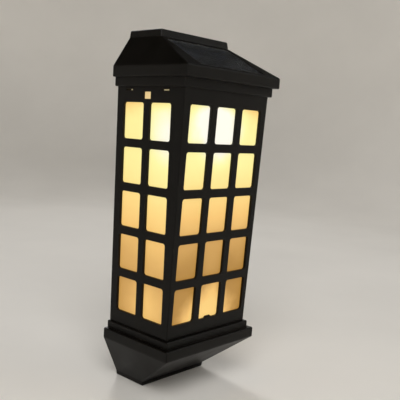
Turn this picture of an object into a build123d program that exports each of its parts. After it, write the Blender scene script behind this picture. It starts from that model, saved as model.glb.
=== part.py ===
# Solar wall light: a moulded lantern with a lattice body, a solar head that lifts off it, and a tapered base.
# The wall is the plane Y = 0, the light stands out from it towards -Y, X runs across it and +Z is up.
# The origin is on the wall, midway between the two keyholes that the light hangs from.
# All sizes are in millimetres.

import os
from math import hypot, radians, tan

from build123d import *

os.makedirs("parts", exist_ok=True)

# Lattice of windows
row_count = 5
front_columns = 3
side_columns = 2
window_width = 22.5
window_height = 27.5
window_corner = 2.0
bar_width = 6.5

# Lantern body, measured at the top edge of the windows
window_top = 20.0
front_post = 7.4
rear_post = 7.5
side_front_post = 12.9
front_lean = 2.06
side_lean = 0.94
frame_wall = 2.2
bottom_rail = 10.5

# Locating features in the side walls of the lantern
tab_hole_width = 8.0
tab_hole_height = 5.3
tab_hole_rise = 2.65
notch_width = 7.3
notch_rise = 8.8
notch_offset = 19.6
key_end_gap = 1.0

# Trace of the moulding gate on a window sill
flash_width = 9.6
flash_height = 1.3
flash_slope = 38.0
flash_thick = 1.0
flash_root = 0.5

# Head of the light: collar, fascia, hip roof and cap block
collar_rise = 11.6
collar_height = 6.9
collar_side_wall = 2.4
collar_front_wall = 1.6
fascia_side_overhang = 2.65
fascia_front_overhang = 4.8
fascia_height = 8.2
roof_rise = 22.7
cap_width = 76.5
cap_depth = 35.2
cap_height = 5.5
cap_draft = 0.8
roof_wall = 2.4
tray_plate = 2.2

# Base: step, lip, taper and foot
socket_depth = 6.0
step_side_wall = 1.7
step_front_wall = 2.8
step_height = 5.5
lip_overhang = 3.65
lip_height = 7.7
taper_drop = 31.3
foot_width = 70.8
foot_depth = 32.2
foot_height = 3.9
foot_draft = 0.8
base_wall = 2.4
ledge_width = 2.4

# Solar panel in its seat on the front slope
panel_width = 72.0
panel_length = 42.0
panel_sink = 0.3
cover_thick = 0.5
cell_thick = 0.2
cell_count = 8
cell_gap = 0.8
cell_margin = 2.0
board_thick = 1.2
gasket_thick = 0.5
gasket_rim = 5.0
wire_hole_width = 14.0
wire_hole_length = 6.0

# Panes, back plate, reflector and floor plate
pane_thick = 1.6
pane_rise = 8.4
tab_recess = 1.7
back_thick = 2.4
reflector_thick = 0.8
floor_thick = 1.2
rib_width = 6.0
rib_thick = 4.0
lug_size = 11.0
lug_thick = 2.5

# Keyholes in the back plate
keyhole_spacing = 50.0
keyhole_radius = 4.5
keyhole_slot = 4.4
keyhole_travel = 9.0
pocket_depth = 6.0
pocket_wall = 1.6
pocket_margin = 2.0

# Lamp circuit
circuit_width = 60.0
circuit_length = 26.0
circuit_thick = 1.6
circuit_centre = -42.0
standoff_height = 4.0
standoff_width = 5.2
standoff_inset = 3.8
tenon_width = 2.4
tenon_stake = 0.8
lamp_radius = 2.5
lamp_length = 8.6
lamp_centre = -38.0
chip_across = 12.0
chip_along = -4.5
chip_width = 5.0
chip_length = 4.0
chip_height = 1.7
coil_across = -12.0
coil_along = -2.0
coil_radius = 3.0
coil_height = 5.0
capacitor_across = 12.0
capacitor_along = 4.5
capacitor_radius = 2.0
capacitor_height = 6.0

# Battery and its holder
cell_radius = 7.25
cell_length = 48.5
nub_radius = 2.75
nub_length = 2.0
holder_wall = 2.0
holder_floor = 1.5
holder_depth = 11.0
battery_centre = -14.0
contact_thick = 0.4
contact_width = 9.0
leaf_stand = 2.4

# Slide switch in the roof's back wall
switch_recess_width = 16.0
switch_recess_height = 8.0
switch_recess_depth = 4.5
switch_floor = 1.6
switch_above_tray = 23.0
switch_case_width = 8.6
switch_case_height = 4.4
switch_case_depth = 4.0
knob_width = 1.8
knob_height = 1.8
knob_root = 2.0
knob_sink = 1.4
knob_travel = 2.0

# Wires
wire_radius = 0.6
wire_inset = 1.5
panel_wire_half = 3.5
panel_wire_run = 8.0
switch_wire_half = 2.2

# Screws
screw_radius = 1.1
head_radius = 2.3
head_height = 1.6
screw_length = 9.0
boss_radius = 3.3
roof_boss_inset = 12.5
roof_boss_depth = 40.0

# Clearances
fit_gap = 0.25
seat_gap = 0.1
pane_gap = 0.15
thread_gap = 0.05
hole_gap = 0.3
slide_gap = 0.1

# Edge treatments
post_round = 0.8
edge_break = 0.6

# Lattice layout
column_pitch = window_width + bar_width
row_pitch = window_height + bar_width
front_field = front_columns * column_pitch - bar_width
side_field = side_columns * column_pitch - bar_width
field_height = row_count * row_pitch - bar_width
frame_width = front_field + 2 * front_post
frame_depth = side_field + rear_post + side_front_post
field_middle = window_top - field_height / 2
side_middle = -(rear_post + side_field / 2)

# Levels, from the cap down to the foot
collar_base = window_top + collar_rise
fascia_base = collar_base + collar_height
fascia_top = fascia_base + fascia_height
cap_base = fascia_top + roof_rise
cap_top = cap_base + cap_height
frame_top = fascia_base - seat_gap
tray_top = fascia_base + tray_plate
step_top = window_top - field_height - bottom_rail
frame_base = step_top - socket_depth
floor_top = frame_base + floor_thick
lug_base = floor_top + seat_gap
lug_top = lug_base + lug_thick
pane_base = lug_top + seat_gap
pane_top = window_top + pane_rise
lip_top = step_top - step_height
lip_base = lip_top - lip_height
foot_top = lip_base - taper_drop
foot_base = foot_top - foot_height


def frame_half(height):
    """Half of the lantern's outside width at a height: both sides lean in towards the base."""
    return frame_width / 2 + (height - window_top) * tan(radians(side_lean))


def frame_front(height):
    """Y of the lantern's front face at a height: the front leans in towards the base."""
    return -frame_depth - (height - window_top) * tan(radians(front_lean))


# Head and base outlines, from the lantern that they fit
collar_half_inside = frame_half(frame_top) + fit_gap
collar_front_inside = frame_front(frame_top) - fit_gap
collar_half = collar_half_inside + collar_side_wall
collar_front = collar_front_inside - collar_front_wall
fascia_half = collar_half + fascia_side_overhang
fascia_front = collar_front - fascia_front_overhang
socket_half = frame_half(step_top) + fit_gap
socket_front = frame_front(step_top) - fit_gap
step_half = socket_half + step_side_wall
step_front = socket_front - step_front_wall
lip_half = step_half + lip_overhang
lip_front = step_front - lip_overhang
reach = 2 * (fascia_half + cap_top - foot_base)


def both_sides(right_points):
    """A closed outline seen from the front, from the points of its right half."""
    left_points = [(-x, z) for x, z in reversed(right_points)]
    return right_points + left_points


def moulded_block(side_outline, front_outline):
    """The block that has one outline seen from the side, in Y and Z, and another seen from the front, in X and Z."""
    with BuildPart() as block:
        with BuildSketch(Plane.YZ):
            with BuildLine():
                Polyline(*side_outline, close=True)
            make_face()
        extrude(amount=reach, both=True)
        with BuildSketch(Plane.XZ):
            with BuildLine():
                Polyline(*front_outline, close=True)
            make_face()
        extrude(amount=reach, both=True, mode=Mode.INTERSECT)
    return block.part


def broken_block(side_outline, front_outline, sharp_levels):
    """A moulded block with its edges broken, apart from those at the wall and those at the levels named."""
    with BuildPart() as block:
        add(moulded_block(side_outline, front_outline))
        free_edges = block.edges().filter_by(lambda edge: edge.center().Y < -edge_break)
        for level in sharp_levels:
            free_edges = [edge for edge in free_edges if abs(edge.center().Z - level) > edge_break]
        chamfer(free_edges, edge_break)
    return block.part


def pan_screw(length):
    """A pan head screw that points along +Z, with the underside of its head at Z = 0."""
    with BuildPart() as screw:
        Cylinder(screw_radius, length, align=(Align.CENTER, Align.CENTER, Align.MIN))
        Cylinder(head_radius, head_height, align=(Align.CENTER, Align.CENTER, Align.MAX))
    return screw.part


# Lattice frame: front wall and two side walls in one moulding
frame_half_inside_base = frame_half(frame_base) - frame_wall
frame_half_inside_top = frame_half(frame_top) - frame_wall
frame_outside = moulded_block(
    [(0, frame_base), (frame_front(frame_base), frame_base), (frame_front(frame_top), frame_top), (0, frame_top)],
    both_sides([(frame_half(frame_base), frame_base), (frame_half(frame_top), frame_top)]),
)
frame_inside = moulded_block(
    [
        (reach, frame_base),
        (frame_front(frame_base) + frame_wall, frame_base),
        (frame_front(frame_top) + frame_wall, frame_top),
        (reach, frame_top),
    ],
    both_sides([(frame_half_inside_base, frame_base), (frame_half_inside_top, frame_top)]),
)
rib_front = -(back_thick + rib_thick)
lug_half = frame_half(frame_base) - (frame_wall + lug_size) / 2
lug_front_row = frame_front(frame_base) + (frame_wall + lug_size) / 2
lug_rear_row = rib_front - lug_size / 2
lug_places = [(x, y) for x in (-lug_half, lug_half) for y in (lug_front_row, lug_rear_row)]
base_screw_places = [(-lug_half, lug_rear_row), (lug_half, lug_rear_row)]
sill = window_top - field_height

with BuildPart() as lattice_frame:
    add(frame_outside)
    long_edges = lattice_frame.edges().filter_by(lambda edge: edge.length > field_height)
    fillet(long_edges.filter_by(lambda edge: edge.center().Y < side_middle), post_round)
    add(frame_inside, mode=Mode.SUBTRACT)
    # Front windows
    with BuildSketch(Plane.XZ):
        with Locations((0, field_middle)):
            with GridLocations(column_pitch, row_pitch, front_columns, row_count):
                RectangleRounded(window_width, window_height, window_corner)
    extrude(amount=reach, mode=Mode.SUBTRACT)
    # Side windows, the square hole for each pane's tab and the open notches for the head's keys
    with BuildSketch(Plane.YZ):
        with Locations((side_middle, field_middle)):
            with GridLocations(column_pitch, row_pitch, side_columns, row_count):
                RectangleRounded(window_width, window_height, window_corner)
        with Locations((side_middle, window_top + tab_hole_rise)):
            Rectangle(tab_hole_width, tab_hole_height, align=(Align.CENTER, Align.MIN))
        with Locations((side_middle - notch_offset, window_top + notch_rise)):
            Rectangle(notch_width, reach, align=(Align.CENTER, Align.MIN))
        with Locations((side_middle + notch_offset, window_top + notch_rise)):
            Rectangle(notch_width, reach, align=(Align.CENTER, Align.MIN))
    extrude(amount=reach, both=True, mode=Mode.SUBTRACT)
    # Upright ribs that the back plate is welded to
    with BuildSketch(Plane.XZ.offset(back_thick)):
        with BuildLine():
            Polyline(
                (frame_half(floor_top) - frame_wall / 2, floor_top),
                (frame_half(frame_top) - frame_wall / 2, frame_top),
                (frame_half_inside_top - rib_width, frame_top),
                (frame_half_inside_base - rib_width, floor_top),
                close=True,
            )
        make_face()
        mirror(about=Plane.YZ)
    extrude(amount=rib_thick)
    # Lugs that the panes stand on, and that hold the floor plate down
    with BuildSketch(Plane.XY.offset(lug_base)):
        with Locations(*lug_places):
            Rectangle(lug_size, lug_size)
    extrude(amount=lug_thick)
    # Screw holes in the two rear lugs
    with BuildSketch(Plane.XY.offset(lug_base)):
        with Locations(*base_screw_places):
            Circle(screw_radius + hole_gap)
    extrude(amount=lug_thick, mode=Mode.SUBTRACT)
    # Trace of the moulding gate on the sill of the lowest middle window
    with BuildSketch(Plane.XZ.offset(-(frame_front(sill) + frame_wall))):
        with Locations((0, sill - flash_root)):
            Trapezoid(flash_width, flash_height + flash_root, flash_slope, align=(Align.CENTER, Align.MIN))
    extrude(amount=flash_thick)
lattice_frame.part.label = "lattice_frame"
export_step(lattice_frame.part, "parts/lattice_frame.step")


# Panes: frosted sheets that stand on the lugs, behind the lattice
def pane_front(height):
    """Y of the outer face of the front pane at a height."""
    return frame_front(height) + frame_wall + pane_gap


def pane_half(height):
    """X of the outer face of the right pane at a height."""
    return frame_half(height) - frame_wall - pane_gap


with BuildPart() as front_pane:
    add(
        moulded_block(
            [
                (pane_front(pane_base), pane_base),
                (pane_front(pane_base) + pane_thick, pane_base),
                (pane_front(pane_top) + pane_thick, pane_top),
                (pane_front(pane_top), pane_top),
            ],
            both_sides([(pane_half(pane_base), pane_base), (pane_half(pane_top), pane_top)]),
        )
    )
front_pane.part.label = "front_pane"
export_step(front_pane.part, "parts/front_pane.step")

side_pane_front_gap = pane_thick + pane_gap
tab_base = window_top + tab_hole_rise + fit_gap
tab_top = window_top + tab_hole_rise + tab_hole_height - fit_gap
tab_middle = (tab_base + tab_top) / 2

with BuildPart() as right_pane:
    add(
        moulded_block(
            [
                (rib_front - pane_gap, pane_base),
                (pane_front(pane_base) + side_pane_front_gap, pane_base),
                (pane_front(pane_top) + side_pane_front_gap, pane_top),
                (rib_front - pane_gap, pane_top),
            ],
            [
                (pane_half(pane_base), pane_base),
                (pane_half(pane_top), pane_top),
                (pane_half(pane_top) - pane_thick, pane_top),
                (pane_half(pane_base) - pane_thick, pane_base),
            ],
        )
    )
    # Tab that springs into the square hole of the side wall
    with BuildSketch(Plane.YZ.offset(frame_half(tab_middle) - tab_recess)):
        with Locations((side_middle, tab_middle)):
            Rectangle(tab_hole_width - 2 * fit_gap, tab_top - tab_base)
    extrude(amount=-(frame_wall - tab_recess + pane_gap + pane_thick / 2))
right_pane.part.label = "right_pane"
export_step(right_pane.part, "parts/right_pane.step")

with BuildPart() as left_pane:
    add(mirror(right_pane.part, about=Plane.YZ, mode=Mode.PRIVATE))
left_pane.part.label = "left_pane"
export_step(left_pane.part, "parts/left_pane.step")

# Back plate: closes the lantern at the wall and hangs it on two screws
pocket_half = keyhole_radius + pocket_margin
pocket_low = -pocket_half
pocket_high = keyhole_travel + pocket_half
pocket_height = pocket_high - pocket_low
pocket_middle = (pocket_high + pocket_low) / 2
keyhole_places = [(-keyhole_spacing / 2, 0), (keyhole_spacing / 2, 0)]
pocket_places = [(x, z + pocket_middle) for x, z in keyhole_places]
slot_places = [(x, z + keyhole_travel / 2) for x, z in keyhole_places]

with BuildPart() as back_plate:
    with BuildSketch(Plane.XZ):
        with BuildLine():
            Polyline(
                *both_sides(
                    [
                        (frame_half_inside_base - fit_gap, frame_base + seat_gap),
                        (frame_half_inside_top - fit_gap, frame_top),
                    ]
                ),
                close=True,
            )
        make_face()
    extrude(amount=back_thick)
    # Closed pockets that the heads of the wall screws move in
    with BuildSketch(Plane.XZ.offset(back_thick)):
        with Locations(*pocket_places):
            Rectangle(2 * (pocket_half + pocket_wall), pocket_height + 2 * pocket_wall)
    extrude(amount=pocket_depth + pocket_wall)
    with BuildSketch(Plane.XZ.offset(back_thick)):
        with Locations(*pocket_places):
            Rectangle(2 * pocket_half, pocket_height)
    extrude(amount=pocket_depth, mode=Mode.SUBTRACT)
    # Keyholes: a round entry with a narrow slot above it
    with BuildSketch(Plane.XZ):
        with Locations(*keyhole_places):
            Circle(keyhole_radius)
        with Locations(*slot_places):
            SlotOverall(keyhole_travel + keyhole_slot, keyhole_slot, rotation=90)
    extrude(amount=back_thick, mode=Mode.SUBTRACT)
back_plate.part.label = "back_plate"
export_step(back_plate.part, "parts/back_plate.step")

# Back reflector: white sheet glued to the inside of the back plate, between the ribs and round the screw pockets
reflector_rim = rib_width + fit_gap
reflector_cut_width = 2 * (pocket_half + pocket_wall + fit_gap)
reflector_cut_height = pocket_height + 2 * (pocket_wall + fit_gap)

with BuildPart() as back_reflector:
    with BuildSketch(Plane.XZ.offset(back_thick)):
        with BuildLine():
            Polyline(
                *both_sides(
                    [
                        (frame_half_inside_base - reflector_rim, lug_base),
                        (frame_half_inside_top - reflector_rim, frame_top),
                    ]
                ),
                close=True,
            )
        make_face()
        with Locations(*pocket_places):
            Rectangle(reflector_cut_width, reflector_cut_height, mode=Mode.SUBTRACT)
    extrude(amount=reflector_thick)
back_reflector.part.label = "back_reflector"
export_step(back_reflector.part, "parts/back_reflector.step")

# Base shell: the lantern stands in its socket, and it tapers back to the foot at the wall
foot_half = foot_width / 2
side_run = lip_half - foot_half
front_run = -lip_front - foot_depth
side_skin = base_wall * hypot(side_run, taper_drop) / taper_drop
front_skin = base_wall * hypot(front_run, taper_drop) / taper_drop
ledge_half = socket_half - ledge_width
ledge_front = socket_front + ledge_width
side_shoulder = lip_base - (lip_half - side_skin - ledge_half) * taper_drop / side_run
front_shoulder = lip_base - (ledge_front - lip_front - front_skin) * taper_drop / front_run
base_floor = foot_base + base_wall

with BuildPart() as base_cavity:
    add(
        moulded_block(
            [
                (-base_wall, base_floor),
                (-(foot_depth - front_skin), base_floor),
                (-(foot_depth - front_skin), foot_top),
                (ledge_front, front_shoulder),
                (ledge_front, frame_base),
                (-base_wall, frame_base),
            ],
            both_sides(
                [
                    (foot_half - side_skin, base_floor),
                    (foot_half - side_skin, foot_top),
                    (ledge_half, side_shoulder),
                    (ledge_half, frame_base),
                ]
            ),
        )
    )
    # Screw posts under the two rear lugs stay solid
    with BuildSketch(Plane.XY.offset(foot_base)):
        with Locations(*base_screw_places):
            Circle(boss_radius)
    extrude(amount=frame_base - foot_base, mode=Mode.SUBTRACT)

with BuildPart() as base_shell:
    # Step, lip and taper, and foot, one above the other
    add(
        broken_block(
            [(0, lip_top), (step_front, lip_top), (step_front, step_top), (0, step_top)],
            both_sides([(step_half, lip_top), (step_half, step_top)]),
            [lip_top],
        )
    )
    add(
        broken_block(
            [(0, foot_top), (-foot_depth, foot_top), (lip_front, lip_base), (lip_front, lip_top), (0, lip_top)],
            both_sides([(foot_half, foot_top), (lip_half, lip_base), (lip_half, lip_top)]),
            [foot_top],
        )
    )
    add(
        broken_block(
            [(0, foot_base), (-(foot_depth - foot_draft), foot_base), (-foot_depth, foot_top), (0, foot_top)],
            both_sides([(foot_half - foot_draft, foot_base), (foot_half, foot_top)]),
            [foot_top],
        )
    )
    add(base_cavity.part, mode=Mode.SUBTRACT)
    # Socket that takes the foot of the lantern, open at the wall
    with BuildSketch(Plane.XY.offset(frame_base)):
        Rectangle(2 * socket_half, -socket_front, align=(Align.CENTER, Align.MAX))
    extrude(amount=socket_depth, mode=Mode.SUBTRACT)
    with BuildSketch(Plane.XY.offset(frame_base)):
        with Locations(*base_screw_places):
            Circle(screw_radius + thread_gap)
    extrude(amount=-screw_length, mode=Mode.SUBTRACT)
base_shell.part.label = "base_shell"
export_step(base_shell.part, "parts/base_shell.step")

# Floor plate: white reflector on the ledge of the base, held down by the lugs
floor_front = frame_front(frame_base) + frame_wall + fit_gap
floor_rear = -(back_thick + fit_gap)
floor_half = frame_half_inside_base - fit_gap
floor_notch_width = floor_half - lug_half + screw_radius + hole_gap
floor_notch_length = floor_rear - lug_rear_row + screw_radius + hole_gap

with BuildPart() as floor_plate:
    with BuildSketch(Plane.XY.offset(frame_base)):
        with Locations((0, floor_rear)):
            Rectangle(2 * floor_half, floor_rear - floor_front, align=(Align.CENTER, Align.MAX))
        # Rear corners cut away round the base screws
        with Locations((-floor_half, floor_rear), (floor_half, floor_rear)):
            Rectangle(2 * floor_notch_width, 2 * floor_notch_length, mode=Mode.SUBTRACT)
    extrude(amount=floor_thick)
floor_plate.part.label = "floor_plate"
export_step(floor_plate.part, "parts/floor_plate.step")

with BuildPart() as base_screws:
    with Locations(*[Location((x, y, lug_top), (180, 0, 0)) for x, y in base_screw_places]):
        add(pan_screw(screw_length))
base_screws.part.label = "base_screws"
export_step(base_screws.part, "parts/base_screws.step")

# Roof shell: fascia, two steep side hips, a shallow front slope and a cap block at the wall
cap_half = cap_width / 2
hip_run = fascia_half - cap_half
slope_run = -fascia_front - cap_depth
slope_length = hypot(slope_run, roof_rise)
hip_length = hypot(hip_run, roof_rise)
panel_stack = gasket_thick + board_thick + cell_thick + cover_thick
seat_depth = panel_sink + panel_stack
slope_drop = (seat_depth + roof_wall) * slope_length / slope_run
hip_drop = roof_wall * (hip_length - roof_rise) / hip_run
cavity_half = fascia_half - roof_wall
cavity_front = fascia_front + roof_wall
cap_cavity_front = -(cap_depth - roof_wall)
slope_pitch = roof_rise / slope_run
slope_plane = Plane(
    origin=(0, (fascia_front - cap_depth) / 2, (fascia_top + cap_base) / 2),
    x_dir=(1, 0, 0),
    z_dir=(0, -roof_rise, slope_run),
)
roof_boss_half = fascia_half - roof_boss_inset
roof_boss_places = [(-roof_boss_half, -roof_boss_depth), (roof_boss_half, -roof_boss_depth)]
switch_level = tray_top + switch_above_tray
switch_seat = -(switch_recess_depth + switch_floor)
slider_slot_width = knob_width + knob_travel + 2 * slide_gap
slider_slot_height = knob_height + 2 * slide_gap


def slope_ceiling(y):
    """Z of the underside of the front slope at a distance from the wall."""
    return fascia_top + (y - fascia_front) * slope_pitch - slope_drop


with BuildPart() as roof_cavity:
    add(
        moulded_block(
            [
                (-roof_wall, fascia_base),
                (cavity_front, fascia_base),
                (cavity_front, slope_ceiling(cavity_front)),
                (cap_cavity_front, slope_ceiling(cap_cavity_front)),
                (cap_cavity_front, cap_top - roof_wall),
                (-roof_wall, cap_top - roof_wall),
            ],
            both_sides(
                [
                    (cavity_half, fascia_base),
                    (cavity_half, fascia_top - hip_drop),
                    (cap_half - roof_wall, cap_base - hip_drop),
                    (cap_half - roof_wall, cap_top - roof_wall),
                ]
            ),
        )
    )
    # Screw posts and the box round the switch recess stay solid
    with BuildSketch(Plane.XY.offset(tray_top)):
        with Locations(*roof_boss_places):
            Circle(boss_radius)
    extrude(amount=cap_top - tray_top, mode=Mode.SUBTRACT)
    with BuildSketch(Plane.XZ):
        with Locations((0, switch_level)):
            Rectangle(switch_recess_width + 2 * switch_floor, switch_recess_height + 2 * switch_floor)
    extrude(amount=-switch_seat, mode=Mode.SUBTRACT)

with BuildPart() as roof_shell:
    # Fascia and hips, and the cap block on top of them
    add(
        broken_block(
            [
                (0, fascia_base),
                (fascia_front, fascia_base),
                (fascia_front, fascia_top),
                (-cap_depth, cap_base),
                (0, cap_base),
            ],
            both_sides([(fascia_half, fascia_base), (fascia_half, fascia_top), (cap_half, cap_base)]),
            [cap_base],
        )
    )
    add(
        broken_block(
            [(0, cap_base), (-cap_depth, cap_base), (-(cap_depth - cap_draft), cap_top), (0, cap_top)],
            both_sides([(cap_half, cap_base), (cap_half - cap_draft, cap_top)]),
            [cap_base],
        )
    )
    add(roof_cavity.part, mode=Mode.SUBTRACT)
    # Seat of the solar panel, with the opening that its wires pass through
    with BuildSketch(slope_plane):
        Rectangle(panel_width + 2 * fit_gap, panel_length + 2 * fit_gap)
    extrude(amount=-seat_depth, mode=Mode.SUBTRACT)
    with BuildSketch(slope_plane):
        Rectangle(wire_hole_width, wire_hole_length)
    extrude(amount=-(seat_depth + 2 * roof_wall), mode=Mode.SUBTRACT)
    # Switch recess in the back wall and the slot of its slider
    with BuildSketch(Plane.XZ):
        with Locations((0, switch_level)):
            Rectangle(switch_recess_width, switch_recess_height)
    extrude(amount=switch_recess_depth, mode=Mode.SUBTRACT)
    with BuildSketch(Plane.XZ):
        with Locations((0, switch_level)):
            Rectangle(slider_slot_width, slider_slot_height)
    extrude(amount=-switch_seat, mode=Mode.SUBTRACT)
    # Pilot holes in the screw posts
    with BuildSketch(Plane.XY.offset(tray_top)):
        with Locations(*roof_boss_places):
            Circle(screw_radius + thread_gap)
    extrude(amount=screw_length - tray_plate, mode=Mode.SUBTRACT)
roof_shell.part.label = "roof_shell"
export_step(roof_shell.part, "parts/roof_shell.step")

# Solar panel: foam tape, backing board, cells and clear cover, stacked in the seat
with BuildPart() as panel_gasket:
    with BuildSketch(slope_plane.offset(-seat_depth)):
        Rectangle(panel_width, panel_length)
        Rectangle(panel_width - 2 * gasket_rim, panel_length - 2 * gasket_rim, mode=Mode.SUBTRACT)
    extrude(amount=gasket_thick)
panel_gasket.part.label = "panel_gasket"
export_step(panel_gasket.part, "parts/panel_gasket.step")

board_level = gasket_thick - seat_depth
with BuildPart() as solar_board:
    with BuildSketch(slope_plane.offset(board_level)):
        Rectangle(panel_width, panel_length)
    extrude(amount=board_thick)
solar_board.part.label = "solar_board"
export_step(solar_board.part, "parts/solar_board.step")

cell_pitch = (panel_width - 2 * cell_margin + cell_gap) / cell_count
with BuildPart() as solar_cells:
    with BuildSketch(slope_plane.offset(board_level + board_thick)):
        with GridLocations(cell_pitch, 0, cell_count, 1):
            Rectangle(cell_pitch - cell_gap, panel_length - 2 * cell_margin)
    extrude(amount=cell_thick)
solar_cells.part.label = "solar_cells"
export_step(solar_cells.part, "parts/solar_cells.step")

with BuildPart() as solar_cover:
    with BuildSketch(slope_plane.offset(-panel_sink - cover_thick)):
        Rectangle(panel_width, panel_length)
    extrude(amount=cover_thick)
solar_cover.part.label = "solar_cover"
export_step(solar_cover.part, "parts/solar_cover.step")

# Head tray: closes the roof from below, and its collar and keys locate the head on the lantern
flange_half = cavity_half - fit_gap
flange_front = cavity_front + fit_gap
flange_rear = -(roof_wall + fit_gap)
key_base = window_top + notch_rise + key_end_gap
key_outside = frame_half(key_base)
key_places = [
    (x, side_middle + y)
    for x in (frame_wall / 2 - key_outside, key_outside - frame_wall / 2)
    for y in (-notch_offset, notch_offset)
]
standoff_half = circuit_width / 2 - standoff_inset
standoff_places = [(-standoff_half, circuit_centre), (standoff_half, circuit_centre)]
tenon_height = standoff_height + circuit_thick + tenon_stake

with BuildPart() as head_tray:
    # Collar round three sides of the lantern's rim
    add(
        broken_block(
            [(0, collar_base), (collar_front, collar_base), (collar_front, fascia_base), (0, fascia_base)],
            both_sides([(collar_half, collar_base), (collar_half, fascia_base)]),
            [fascia_base],
        )
    )
    with BuildSketch(Plane.XY.offset(collar_base)):
        Rectangle(2 * collar_half_inside, -collar_front_inside, align=(Align.CENTER, Align.MAX))
    extrude(amount=collar_height, mode=Mode.SUBTRACT)
    # Plate that closes the roof
    with BuildSketch(Plane.XY.offset(fascia_base)):
        with Locations((0, (flange_front + flange_rear) / 2)):
            Rectangle(2 * flange_half, flange_rear - flange_front)
    extrude(amount=tray_plate)
    # Keys that hang into the notches of the side walls
    with BuildSketch(Plane.XY.offset(key_base)):
        with Locations(*key_places):
            Rectangle(frame_wall, notch_width - 2 * fit_gap)
    extrude(amount=fascia_base - key_base)
    # Standoffs for the circuit board, with tenons that are staked over it
    with BuildSketch(Plane.XY.offset(tray_top)):
        with Locations(*standoff_places):
            Rectangle(standoff_width, standoff_width)
    extrude(amount=standoff_height)
    with BuildSketch(Plane.XY.offset(tray_top)):
        with Locations(*standoff_places):
            Rectangle(tenon_width, tenon_width)
    extrude(amount=tenon_height)
    # Holes for the lamp and for the screws into the roof
    with BuildSketch(Plane.XY.offset(fascia_base)):
        with Locations((0, lamp_centre)):
            Circle(lamp_radius + hole_gap)
        with Locations(*roof_boss_places):
            Circle(screw_radius + hole_gap)
    extrude(amount=tray_plate, mode=Mode.SUBTRACT)
head_tray.part.label = "head_tray"
export_step(head_tray.part, "parts/head_tray.step")

with BuildPart() as roof_screws:
    with Locations(*[(x, y, fascia_base) for x, y in roof_boss_places]):
        add(pan_screw(screw_length - 2 * seat_gap))
roof_screws.part.label = "roof_screws"
export_step(roof_screws.part, "parts/roof_screws.step")

# Lamp circuit: board on its standoffs, lamp through the tray, parts on top
circuit_base = tray_top + standoff_height
circuit_top = circuit_base + circuit_thick

with BuildPart() as control_board:
    with BuildSketch(Plane.XY.offset(circuit_base)):
        with Locations((0, circuit_centre)):
            Rectangle(circuit_width, circuit_length)
        with Locations(*standoff_places):
            Rectangle(tenon_width + 2 * slide_gap, tenon_width + 2 * slide_gap, mode=Mode.SUBTRACT)
    extrude(amount=circuit_thick)
control_board.part.label = "control_board"
export_step(control_board.part, "parts/control_board.step")

with BuildPart() as led_lamp:
    with BuildSketch(Plane.XY.offset(circuit_base)):
        with Locations((0, lamp_centre)):
            Circle(lamp_radius)
    extrude(amount=-lamp_length)
led_lamp.part.label = "led_lamp"
export_step(led_lamp.part, "parts/led_lamp.step")

with BuildPart() as driver_chip:
    with BuildSketch(Plane.XY.offset(circuit_top)):
        with Locations((chip_across, circuit_centre + chip_along)):
            Rectangle(chip_width, chip_length)
    extrude(amount=chip_height)
driver_chip.part.label = "driver_chip"
export_step(driver_chip.part, "parts/driver_chip.step")

with BuildPart() as drum_coil:
    with BuildSketch(Plane.XY.offset(circuit_top)):
        with Locations((coil_across, circuit_centre + coil_along)):
            Circle(coil_radius)
    extrude(amount=coil_height)
drum_coil.part.label = "drum_coil"
export_step(drum_coil.part, "parts/drum_coil.step")

with BuildPart() as storage_capacitor:
    with BuildSketch(Plane.XY.offset(circuit_top)):
        with Locations((capacitor_across, circuit_centre + capacitor_along)):
            Circle(capacitor_radius)
    extrude(amount=capacitor_height)
storage_capacitor.part.label = "storage_capacitor"
export_step(storage_capacitor.part, "parts/storage_capacitor.step")

# Battery: one AA cell in an open holder on the tray
trough_radius = cell_radius + hole_gap
battery_axis = tray_top + holder_floor + trough_radius
holder_left = -(cell_length / 2 + leaf_stand + contact_thick)
holder_right = cell_length / 2 + nub_length + contact_thick
holder_middle = (holder_left + holder_right) / 2
holder_inside = holder_right - holder_left
contact_low = battery_axis - contact_width / 2
contact_high = battery_axis + cell_radius - holder_wall / 2

with BuildPart() as battery_holder:
    with BuildSketch(Plane.XY.offset(tray_top)):
        with Locations((holder_middle, battery_centre)):
            Rectangle(holder_inside + 2 * holder_wall, 2 * (trough_radius + holder_wall))
    extrude(amount=holder_depth)
    with BuildSketch(Plane.YZ.offset(holder_left)):
        with Locations((battery_centre, battery_axis)):
            Circle(trough_radius)
            Rectangle(2 * trough_radius, holder_depth, align=(Align.CENTER, Align.MIN))
    extrude(amount=holder_inside, mode=Mode.SUBTRACT)
battery_holder.part.label = "battery_holder"
export_step(battery_holder.part, "parts/battery_holder.step")

with BuildPart() as battery_cell:
    with BuildSketch(Plane.YZ.offset(-cell_length / 2)):
        with Locations((battery_centre, battery_axis)):
            Circle(cell_radius)
    extrude(amount=cell_length)
    with BuildSketch(Plane.YZ.offset(cell_length / 2)):
        with Locations((battery_centre, battery_axis)):
            Circle(nub_radius)
    extrude(amount=nub_length)
battery_cell.part.label = "battery_cell"
export_step(battery_cell.part, "parts/battery_cell.step")

with BuildPart() as battery_plate:
    with BuildSketch(Plane.YZ.offset(holder_right - contact_thick)):
        with Locations((battery_centre, contact_low)):
            Rectangle(contact_width, contact_high - contact_low, align=(Align.CENTER, Align.MIN))
    extrude(amount=contact_thick)
battery_plate.part.label = "battery_plate"
export_step(battery_plate.part, "parts/battery_plate.step")

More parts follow.
